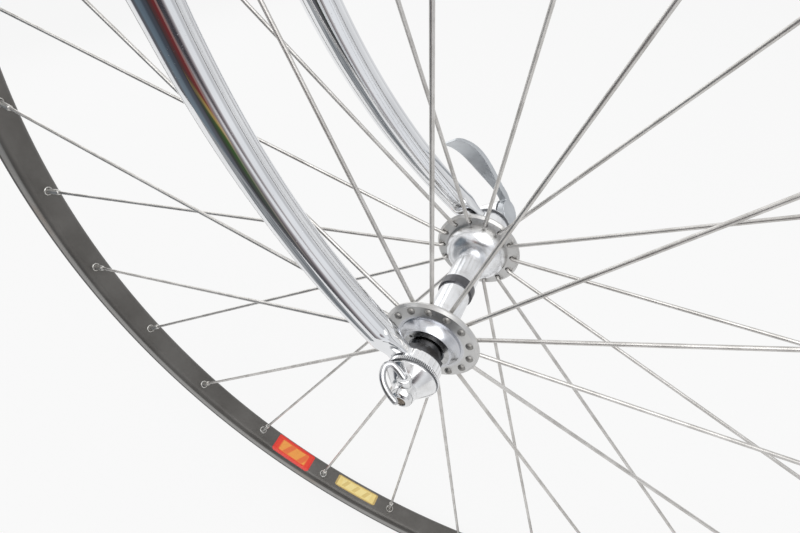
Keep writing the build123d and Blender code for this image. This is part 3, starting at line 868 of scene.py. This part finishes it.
def merged(node):
    """A copy of a CAD node's mesh with its edges joined."""
    shape = bmesh.new()
    shape.from_mesh(frame["nodes"][node].data)
    bmesh.ops.remove_doubles(shape, verts=shape.verts, dist=0.000002)
    return meshed(node + "_copy", shape)


def softened(node, name, grain, rounds):
    """A CAD node's shape with its edges worn round, by a grid of that grain in millimetres."""
    return worked(merged(node), name,
                  ("REMESH", {"mode": "VOXEL", "voxel_size": grain * MM}),
                  ("SMOOTH", {"factor": 0.5, "iterations": rounds}))


def repeat_group():
    """Node group that repeats a unit round the axle, leaned and turned about its own middle line."""
    group = bpy.data.node_groups.new("ring_repeat", "GeometryNodeTree")
    face = group.interface
    face.new_socket("Geometry", in_out="INPUT", socket_type="NodeSocketGeometry")
    for name in ("Count", "Seed"):
        face.new_socket(name, in_out="INPUT", socket_type="NodeSocketInt")
    for name in ("Reach", "Side", "First bearing", "Lean", "Turn"):
        face.new_socket(name, in_out="INPUT", socket_type="NodeSocketFloat")
    face.new_socket("Material", in_out="INPUT", socket_type="NodeSocketMaterial")
    face.new_socket("Geometry", in_out="OUTPUT", socket_type="NodeSocketGeometry")
    plan = Finish("", group)
    given = plan.node("NodeGroupInput").outputs
    index = Amount(plan, plan.node("GeometryNodeInputIndex").outputs[0])
    points = plan.node("GeometryNodeMeshLine", {}, {"Count": given["Count"], "Offset": (0, 0, 0)})
    bearing = Amount(plan, given["First bearing"]) + index * tau / Amount(plan, given["Count"])
    reach = Amount(plan, given["Reach"])
    spot = plan.node("ShaderNodeCombineXYZ", {}, {
        0: bearing.worked("COSINE", bearing) * reach + HUB.x, 1: given["Side"],
        2: bearing.worked("SINE", bearing) * reach + HUB.z})
    placed = plan.node("GeometryNodeSetPosition", {}, {"Geometry": points.outputs[0],
                                                       "Position": spot.outputs[0]})
    facing = plan.node("ShaderNodeCombineXYZ", {}, {1: 0 - bearing})
    copies = plan.node("GeometryNodeInstanceOnPoints", {}, {
        "Points": placed.outputs[0], "Instance": given["Geometry"], "Rotation": facing.outputs[0]})
    leaned = plan.node("ShaderNodeCombineXYZ", {}, {2: given["Lean"]})
    leaning = plan.node("GeometryNodeRotateInstances", {}, {"Instances": copies.outputs[0],
                                                            "Rotation": leaned.outputs[0]})
    chance = plan.node("FunctionNodeRandomValue", {"data_type": "FLOAT"},
                       {2: 0.0, 3: given["Turn"], 7: index, 8: given["Seed"]})
    rolled = plan.node("ShaderNodeCombineXYZ", {}, {0: chance.outputs[1]})
    turning = plan.node("GeometryNodeRotateInstances", {}, {"Instances": leaning.outputs[0],
                                                            "Rotation": rolled.outputs[0]})
    real = plan.node("GeometryNodeRealizeInstances", {}, {"Geometry": turning.outputs[0]})
    dressed = plan.node("GeometryNodeSetMaterial", {}, {"Geometry": real.outputs[0],
                                                        "Material": given["Material"]})
    plan.node("NodeGroupOutput", {}, {0: dressed.outputs[0]})
    return group


def ring_of(unit, name, slot, **values):
    """The mesh of a unit repeated round the axle by the node group."""
    holder = bpy.data.objects.new(name, unit)
    bpy.context.scene.collection.objects.link(holder)
    modifier = holder.modifiers.new("repeat", "NODES")
    modifier.node_group = ring_repeat
    values["Material"] = finishes[slot]
    for item in ring_repeat.interface.items_tree:
        if item.in_out == "INPUT" and item.name.replace(" ", "_") in values:
            modifier[item.identifier] = values[item.name.replace(" ", "_")]
    bpy.context.view_layer.update()
    made = bpy.data.meshes.new_from_object(holder.evaluated_get(bpy.context.evaluated_depsgraph_get()))
    made.name = name
    bpy.data.objects.remove(holder)
    return made


def joined(name, *meshes):
    """Several meshes as one."""
    shape = bmesh.new()
    for mesh in meshes:
        shape.from_mesh(mesh)
    made = bpy.data.meshes.new(name)
    shape.to_mesh(made)
    shape.free()
    return made


def shoulder(side):
    """Radius of the rim's inner face at a place across it."""
    over = max(abs(side) - RIM_HALF_FLAT, 0) / (RIM_HALF_WIDTH - RIM_HALF_FLAT)
    return RIM_INNER + RIM_SHOULDER * (1 - (1 - min(over, 1) ** 2) ** 0.5)


def make_rim():
    """The rim with a smooth hoop, rounded lips, a well for each nipple and the valve's hole."""
    turns = [pi / 2 * count / RIM_CURVE_STEPS for count in range(RIM_CURVE_STEPS + 1)]
    inner = [(RIM_HALF_FLAT + (RIM_HALF_WIDTH - RIM_HALF_FLAT) * sin(turn),
              RIM_INNER + RIM_SHOULDER * (1 - cos(turn))) for turn in turns]
    shares = [count / RIM_CURVE_STEPS - 1 for count in range(2 * RIM_CURVE_STEPS + 1)]
    bed = [(-share * (RIM_HALF_WIDTH - RIM_LIP), RIM_OUTER - BED_DEPTH * (1 - share ** 2)) for share in shares]
    lip = [(RIM_HALF_WIDTH, RIM_OUTER - 0.4), (RIM_HALF_WIDTH - 0.4, RIM_OUTER)]
    outline = inner + lip + bed + [(-side, reach) for side, reach in (inner + lip)[::-1]]
    hoop = bmesh.new()
    lathe(hoop, outline, RIM_STEPS)
    tools = bmesh.new()
    well = [(-8, 0), (-8, NIPPLE_HOLE_RADIUS), (0, NIPPLE_HOLE_RADIUS), (0, WELL_RADIUS), (14, WELL_RADIUS),
            (14, 0)]
    inward = SPOKE_SIDE - (SEAT_REACH - SPOKE_CIRCLE) * tan(SPOKE_LEAN)
    for side, first in ((1, RIGHT_FIRST_BEARING), (-1, LEFT_FIRST_BEARING)):
        for count in range(SPOKES_A_SIDE):
            out = radial(first + 360 * count / SPOKES_A_SIDE)
            way = (out * cos(SPOKE_LEAN) - RIGHT * (side * sin(SPOKE_LEAN))).normalized()
            seat = HUB + out * (SEAT_REACH * MM) + RIGHT * (side * inward * MM)
            lathe(tools, well, NIPPLE_SIDES, seat, way)
    valve = [(290, 0), (290, VALVE_HOLE_RADIUS), (330, VALVE_HOLE_RADIUS), (330, 0)]
    lathe(tools, valve, HOLE_STEPS, HUB, radial(VALVE_BEARING))
    mesh = cut(meshed("rim_hoop", hoop), "rim_hoop", tools)
    add_piece("rim_hoop", mesh, "wheel", "rim_alloy", "rim")


def make_nipples():
    """Nipples with four flats, their heads down in the wells, and the eyelets round them."""
    # along the nipple, radius, share of the four flats
    stations = ((0, 1.5, 0), (0.35, 1.8, 0.4), (1, NIPPLE_RADIUS, 1), (7, NIPPLE_RADIUS, 1),
                (7.6, NIPPLE_RADIUS, 0), (14.2, NIPPLE_RADIUS, 0), (14.4, 2.9, 0), (15.4, 2.9, 0),
                (16.2, 2.2, 0), (16.5, 0.9, 0))
    nipple = bmesh.new()
    rings = []
    for along, radius, squared in stations:
        ring = []
        for side in range(NIPPLE_SIDES):
            turn = tau * side / NIPPLE_SIDES
            flat = min(radius, NIPPLE_FLAT / max(abs(cos(turn)), abs(sin(turn))))
            reach = radius + (flat - radius) * squared
            ring.append(nipple.verts.new((along * MM, cos(turn) * reach * MM, sin(turn) * reach * MM)))
        rings.append(ring)
    skin(nipple, rings)
    nipple = meshed("nipple", nipple)
    eyelet = bmesh.new()
    outline = [(0.4, 2.3), (-0.2, 2.3), (-0.45, 2.5), (-0.45, 2.75), (0.05, 3.2), (0.4, 3.2)]
    lathe(eyelet, rounded(outline, 0.12), EYELET_STEPS, Vector((0, 0, 0)), Vector((1, 0, 0)))
    eyelet = meshed("eyelet", eyelet)
    for name, side, first in (("right", 1, RIGHT_FIRST_BEARING), ("left", -1, LEFT_FIRST_BEARING)):
        start = SPOKE_SIDE - (NIPPLE_REACH - SPOKE_CIRCLE) * tan(SPOKE_LEAN)
        common = {"Count": SPOKES_A_SIDE, "Seed": NIPPLE_SEED, "First_bearing": radians(first)}
        row = ring_of(nipple, "nipples_with_flats_" + name, "nipple_brass", Reach=NIPPLE_REACH * MM,
                      Side=-side * start * MM, Lean=side * SPOKE_LEAN, Turn=pi / 2, **common)
        add_piece("nipples_with_flats_" + name, row, "wheel", "nipple_brass", "nipples_" + name)
        row = ring_of(eyelet, "eyelets_" + name, "nipple_brass", Reach=RIM_INNER * MM,
                      Side=-side * SPOKE_STAGGER * MM, Lean=0.0, Turn=0.0, **common)
        add_piece("eyelets_" + name, row, "wheel", "nipple_brass")


def tooth_ring(name, start, width, reach, count):
    """Fine teeth round a ring of the quick release."""
    half = pi * reach / count * 0.8
    corners = [(-TOOTH_ROOT, -half), (0, -half), (TOOTH_HEIGHT, 0), (0, half), (-TOOTH_ROOT, half)]
    shape = bmesh.new()
    skin(shape, [[shape.verts.new((out * MM, -side * MM, across * MM)) for out, across in corners]
                 for side in (start + 0.15, start + width - 0.25)])
    return ring_of(meshed(name + "_unit", shape), name, "release_chrome", Count=count, Reach=reach * MM,
                   Side=0.0, First_bearing=0.0, Lean=0.0, Turn=0.0, Seed=1)


def make_nut():
    """The adjusting nut: toothed ring, polished cone, domed cap round the rod's end, and the loop's eye."""
    outline = [(0, 2.6), (0, NUT_RING), (NUT_RING_WIDTH, NUT_RING), (2.25, 11.3, 0.05), (2.6, 11.3, 0.05),
               (2.7, 11.8, 0.3), (3.3, 11.75, 0.6), (8.9, 6.5, 0.9), (9.1, 5.3, 0.2), (12.4, 5.3, 1.2),
               (14.6, 4.5, 1.2), (15.4, 3.1, 0.5), (15.3, 2.6, 0.1), (14.4, 2.55, 0.1)]
    nut = bmesh.new()
    lathe(nut, rounded(outline, 0.12), AXLE_STEPS, HUB + RIGHT * (NUT_START * MM))
    eye = [(3.5, 0), (3.5, 3.2), (8.6, 3.2, 0.5), (9, 2.6, 0.3), (9, 1.6, 0.1), (8.5, 1.3, 0.1), (8.5, 0)]
    lathe(nut, rounded(eye, 0), EYE_STEPS, HUB + RIGHT * (EYE_SIDE * MM), radial(90))
    teeth = tooth_ring("nut_teeth", NUT_START, NUT_RING_WIDTH, NUT_RING, NUT_TEETH)
    add_piece("adjusting_nut_polished", joined("adjusting_nut_polished", meshed("nut", nut), teeth), "fork",
              "release_chrome", "adjusting_nut")
    tip = bmesh.new()
    lathe(tip, rounded([(66, 0), (66, 2.5), (70.9, 2.5, 0.5), (71.1, 0)], 0), ROD_STEPS)
    add_piece("skewer_tip", meshed("skewer_tip", tip), "fork", "bearing_steel",
              finish=worn_steel("skewer_end_steel", (0.3, 0.26, 0.22, 1), (0.2, 0.165, 0.13, 1), 0.38,
                                (0.14, 0.09, 0.055, 1), 0.6))


def make_loop():
    """The bent wire that hangs in the nut's eye, for the fingers."""
    # shares of the loop's half width and of its length
    shares = ((0, 0), (0.4, -0.14), (0.78, -0.2), (0.98, -0.03), (0.96, 0.22), (0.82, 0.47), (0.55, 0.7),
              (0.16, 0.89), (-0.22, 1.0))
    across = radial(LOOP_BEARING)
    tilt = radians(LOOP_TILT)
    normal = radial(LOOP_BEARING - 90) * cos(tilt) + RIGHT * sin(tilt)
    outwards = normal.cross(across)
    if outwards.dot(RIGHT) < 0:
        outwards = -outwards
    start = HUB + RIGHT * (EYE_SIDE * MM) + radial(90) * (LOOP_START * MM)
    points = [start + across * (LOOP_HALF_WIDTH * MM * wide) + outwards * (LOOP_LENGTH * MM * out)
              for wide, out in shares]
    loop = bmesh.new()
    wire(loop, smooth_route(points, LOOP_ROUTE_STEPS), LOOP_WIRE * MM)
    finish = worn_steel("loop_wire_steel", (0.66, 0.665, 0.68, 1), (0.52, 0.525, 0.535, 1), 0.2,
                        (0.3, 0.28, 0.26, 1), 0.25)
    add_piece("nut_loop_bent_wire", meshed("nut_loop_bent_wire", loop), "fork", "release_chrome",
              "nut_wire_loop", finish=finish)


def make_housing_teeth():
    """The toothed ring of the cam housing, where it presses on the fork end."""
    teeth = tooth_ring("housing_teeth", -HOUSING_START - HOUSING_RING_WIDTH, HOUSING_RING_WIDTH, HOUSING_RING,
                       HOUSING_TEETH)
    add_piece("housing_teeth", teeth, "fork", "release_chrome")


def make_lever():
    """The forged lever: worn edges, and a paddle slimmer than the solid's."""
    lever = softened("quick_release_lever", "lever_forged", LEVER_GRAIN, LEVER_ROUNDS)
    centre = Vector(joints["lever_swing"]["pos_m"])
    arm, across = radial(LEVER_BEARING), Vector(joints["lever_swing"]["axis"])
    for vert in lever.vertices:
        along = (vert.co - centre).dot(arm) / MM
        slimming = min(max((along - LEVER_NECK) / LEVER_EASE, 0), 1) * LEVER_SLIMMING
        vert.co -= across * ((vert.co - centre).dot(across) + LEVER_OFFSET * MM) * slimming
    add_piece("lever_forged", lever, "lever", "lever_alloy", "quick_release_lever")


def blade_station(side, place, turn=0):
    """Middle of a blade in millimetres, its way down and its way forward, some way down its straight and then
    some way round its bend."""
    down = RIGHT * (side * sin(SPLAY)) - STEERING * cos(SPLAY)
    top = STEERING * CROWN_TOP + RIGHT * (side * BLADE_SPACING / 2)
    spot = top + FORWARD * (BEND_RADIUS * (1 - cos(turn))) + down * (place + BEND_RADIUS * sin(turn))
    return spot, down * cos(turn) + FORWARD * sin(turn), FORWARD * cos(turn) - down * sin(turn)


def make_blades():
    """The fork blades as smooth tubes, oval at the crown, drawn round and bent forward."""
    for name, side in (("right", 1), ("left", -1)):
        stations = [(blade_station(side, place), OVAL)
                    for place in (BLADE_SEAT, BLADE_MIDDLE, BLADE_STRAIGHT)]
        for step in range(1, BLADE_STEPS + 1):
            share = step / BLADE_STEPS
            place = BLADE_STRAIGHT + (STRAIGHT - BLADE_STRAIGHT) * share
            size = [first + (last - first) * share for first, last in zip(OVAL, BEND_OVAL)]
            stations.append((blade_station(side, place), size))
        for step in range(1, BEND_STEPS + 1):
            share = step / BEND_STEPS
            size = [first + (2 * TIP_RADIUS - first) * share for first in BEND_OVAL]
            stations.append((blade_station(side, STRAIGHT, BEND * share), size))
        shape = bmesh.new()
        rings = []
        turns = [tau * count / BLADE_SIDES for count in range(BLADE_SIDES)]
        for (spot, along, across), (deep, wide) in stations:
            out = across.cross(along)
            points = [spot + across * (deep / 2 * cos(turn)) + out * (wide / 2 * sin(turn)) for turn in turns]
            rings.append([shape.verts.new(point * MM) for point in points])
        skin(shape, rings)
        add_piece("blade_polished_" + name, meshed("blade_polished_" + name, shape), "fork", "fork_chrome",
                  "fork_blade_" + name)


def bulged(share, power):
    """A sine or cosine drawn towards -1 and 1, which turns a circle into a rounded box."""
    return abs(share) ** power * (1 if share > 0 else -1)


def forged_sweep(shape, side):
    """From inside the blade's round end to the flat plate, in one smooth sweep."""
    foot, along, across = blade_station(side, STRAIGHT, BEND)
    middle = HUB / MM + RIGHT * (side * END_MIDDLE)
    start = foot - along * SWEEP_INSIDE
    round_out = across.cross(along).normalized()
    flat_out = RIGHT if round_out.dot(RIGHT) > 0 else -RIGHT
    rings = []
    for step in range(SWEEP_STEPS + 1):
        from_foot = step / SWEEP_STEPS * (END_REACH + SWEEP_INSIDE - SLOT_WIDTH) - SWEEP_INSIDE
        drawn = min(max(from_foot / SWEEP_LENGTH, 0), 1)
        drawn = drawn * drawn * (3 - 2 * drawn)
        wide = TIP_RADIUS + (END_NECK / 2 - TIP_RADIUS) * drawn
        thick = TIP_RADIUS + (END_THICKNESS / 2 - TIP_RADIUS) * drawn
        power = 2 / (2 + 4 * drawn)
        spot = start.lerp(middle, (from_foot + SWEEP_INSIDE) / (END_REACH + SWEEP_INSIDE))
        out = round_out.lerp(flat_out, drawn)
        turns = [tau * count / SWEEP_SIDES for count in range(SWEEP_SIDES)]
        points = [spot + across * (wide * bulged(cos(turn), power)) + out * (thick * bulged(sin(turn), power))
                  for turn in turns]
        rings.append([shape.verts.new(point * MM) for point in points])
    skin(shape, rings)


def slotted_plate(shape, side):
    """The flat plate round the axle, open straight down."""
    middle = HUB / MM + RIGHT * (side * END_MIDDLE)
    opening = asin(SLOT_WIDTH / 2 / END_RADIUS)
    outline = [(END_RADIUS, -pi / 2 + opening + (tau - 2 * opening) * count / PLATE_STEPS)
               for count in range(PLATE_STEPS + 1)]
    outline += [(SLOT_WIDTH / 2, pi - pi * count / SLOT_STEPS) for count in range(SLOT_STEPS + 1)]
    skin(shape, [[shape.verts.new((middle + radial(turn / radians(1)) * reach
                                   + RIGHT * (-face * END_THICKNESS / 2)) * MM) for reach, turn in outline]
                 for face in (-1, 1)])


def make_fork_ends():
    """The fork ends, each forged in one piece."""
    for name, side in (("right", 1), ("left", -1)):
        shape = bmesh.new()
        forged_sweep(shape, side)
        slotted_plate(shape, side)
        bmesh.ops.triangulate(shape, faces=shape.faces)
        mesh = worked(meshed("fork_end", shape), "fork_end_forged_" + name,
                      ("REMESH", {"mode": "VOXEL", "voxel_size": END_GRAIN * MM}),
                      ("SMOOTH", {"factor": 0.5, "iterations": END_ROUNDS}))
        add_piece("fork_end_forged_" + name, mesh, "fork", "fork_chrome", "fork_end_" + name)


def make_label(name, extent, finish):
    """A thin label on the rim's inner face, between two nipples."""
    start, end, low, high = extent
    rows, columns = LABEL_ROWS, LABEL_COLUMNS
    shape = bmesh.new()
    spots = shape.loops.layers.uv.new("UVMap")
    grid = []
    for row in range(rows + 1):
        line = []
        for column in range(columns + 1):
            along, across = column / columns, row / rows
            side = low + (high - low) * across
            bearing = start + (end - start) * along
            reach = shoulder(side) - LABEL_LIFT
            line.append((shape.verts.new(HUB + radial(bearing) * (reach * MM) + RIGHT * (side * MM)),
                         (along, across)))
        grid.append(line)
    for row in range(rows):
        for column in range(columns):
            corner = (row in (0, rows - 1)) and (column in (0, columns - 1))
            around = [grid[row][column], grid[row][column + 1], grid[row + 1][column + 1],
                      grid[row + 1][column]]
            # a corner's face loses its outer point, which clips the label's corners
            if corner:
                outer = (0 if row == 0 else 2) + (0 if (column == 0) == (row == 0) else 1)
                around.pop(outer)
            made = shape.faces.new([point for point, _ in around])
            for loop, (_, spot) in zip(made.loops, around):
                loop[spots].uv = spot
    for vert in [vert for vert in shape.verts if not vert.link_faces]:
        shape.verts.remove(vert)
    bmesh.ops.recalc_face_normals(shape, faces=shape.faces)
    middle = shape.faces[len(shape.faces) // 2]
    if middle.normal.dot(HUB - middle.calc_center_median()) < 0:
        bmesh.ops.reverse_faces(shape, faces=shape.faces)
    mesh = bpy.data.meshes.new(name)
    shape.to_mesh(mesh)
    shape.free()
    mesh = worked(mesh, name, ("SOLIDIFY", {"thickness": LABEL_THICKNESS * MM, "offset": -1}))
    add_piece(name, mesh, "wheel", "rim_alloy", finish=finish)


def make_steerer():
    """The steerer tube with its cut thread, keyway and brake hole."""
    outline = [(STEERER_FOOT, STEERER_BORE), (STEERER_FOOT, RACE_SEAT), (0, RACE_SEAT), (0, STEERER_RADIUS)]
    for count in range(THREADS):
        foot = STEERER_TOP - 1 - THREAD_PITCH * (THREADS - count)
        outline += [(foot, STEERER_RADIUS, 0), (foot + 0.45 * THREAD_PITCH, THREAD_ROOT, 0)]
    outline += [(STEERER_TOP - 1, STEERER_RADIUS - 0.1, 0), (STEERER_TOP, STEERER_RADIUS - 0.5, 0.1),
                (STEERER_TOP, STEERER_BORE, 0.1)]
    tube = bmesh.new()
    lathe(tube, rounded(outline, 0.2), STEERER_STEPS, Vector((0, 0, 0)), STEERING)
    tools = bmesh.new()
    hole = [(-HOLE_REACH, 0), (-HOLE_REACH, BRAKE_HOLE_RADIUS), (HOLE_REACH, BRAKE_HOLE_RADIUS),
            (HOLE_REACH, 0)]
    lathe(tools, hole, HOLE_STEPS, STEERING * (BRAKE_HOLE_PLACE * MM), FORWARD)
    corners = ((-CUT_BEYOND, -KEYWAY_HALF_WIDTH), (-CUT_BEYOND, KEYWAY_HALF_WIDTH),
               (-KEYWAY_FLOOR, KEYWAY_HALF_WIDTH), (-KEYWAY_FLOOR, -KEYWAY_HALF_WIDTH))
    skin(tools, [[tools.verts.new((FORWARD * x - RIGHT * y + STEERING * z) * MM) for x, y in corners]
                 for z in (STEERER_TOP - KEYWAY_LENGTH, STEERER_TOP + 4)])
    mesh = cut(meshed("steerer", tube), "steerer_threaded", tools)
    add_piece("steerer_threaded", mesh, "fork", "steerer_steel", "steerer_tube")


bpy.context.scene.view_settings.view_transform = "Standard"
set_camera()
light_room()
lay_floor()
stand_room_wall()
lay_painted_floor_shadow()
hang_banner()
stand_striped_card()
hang_lamp("key_lamp", *KEY_LAMP)
hang_lamp("side_lamp", *SIDE_LAMP)
finishes = give_finishes()
ring_repeat = repeat_group()
make_rim()
make_nipples()
make_nut()
make_loop()
make_housing_teeth()
make_lever()
make_blades()
make_fork_ends()
make_label("red_label", RED_LABEL, label_print("red_label_print", (0.80, 0.045, 0.02, 1),
           (0.86, 0.34, 0.06, 1), (0.80, 0.16, 0.04, 1), (0.72, 0.03, 0.02, 1), 2.5))
make_label("gold_label", GOLD_LABEL, label_print("gold_label_print", (0.86, 0.67, 0.25, 1),
           (0.9, 0.74, 0.32, 1), (0.74, 0.56, 0.2, 1), (0.56, 0.4, 0.14, 1), 4.0))
make_steerer()
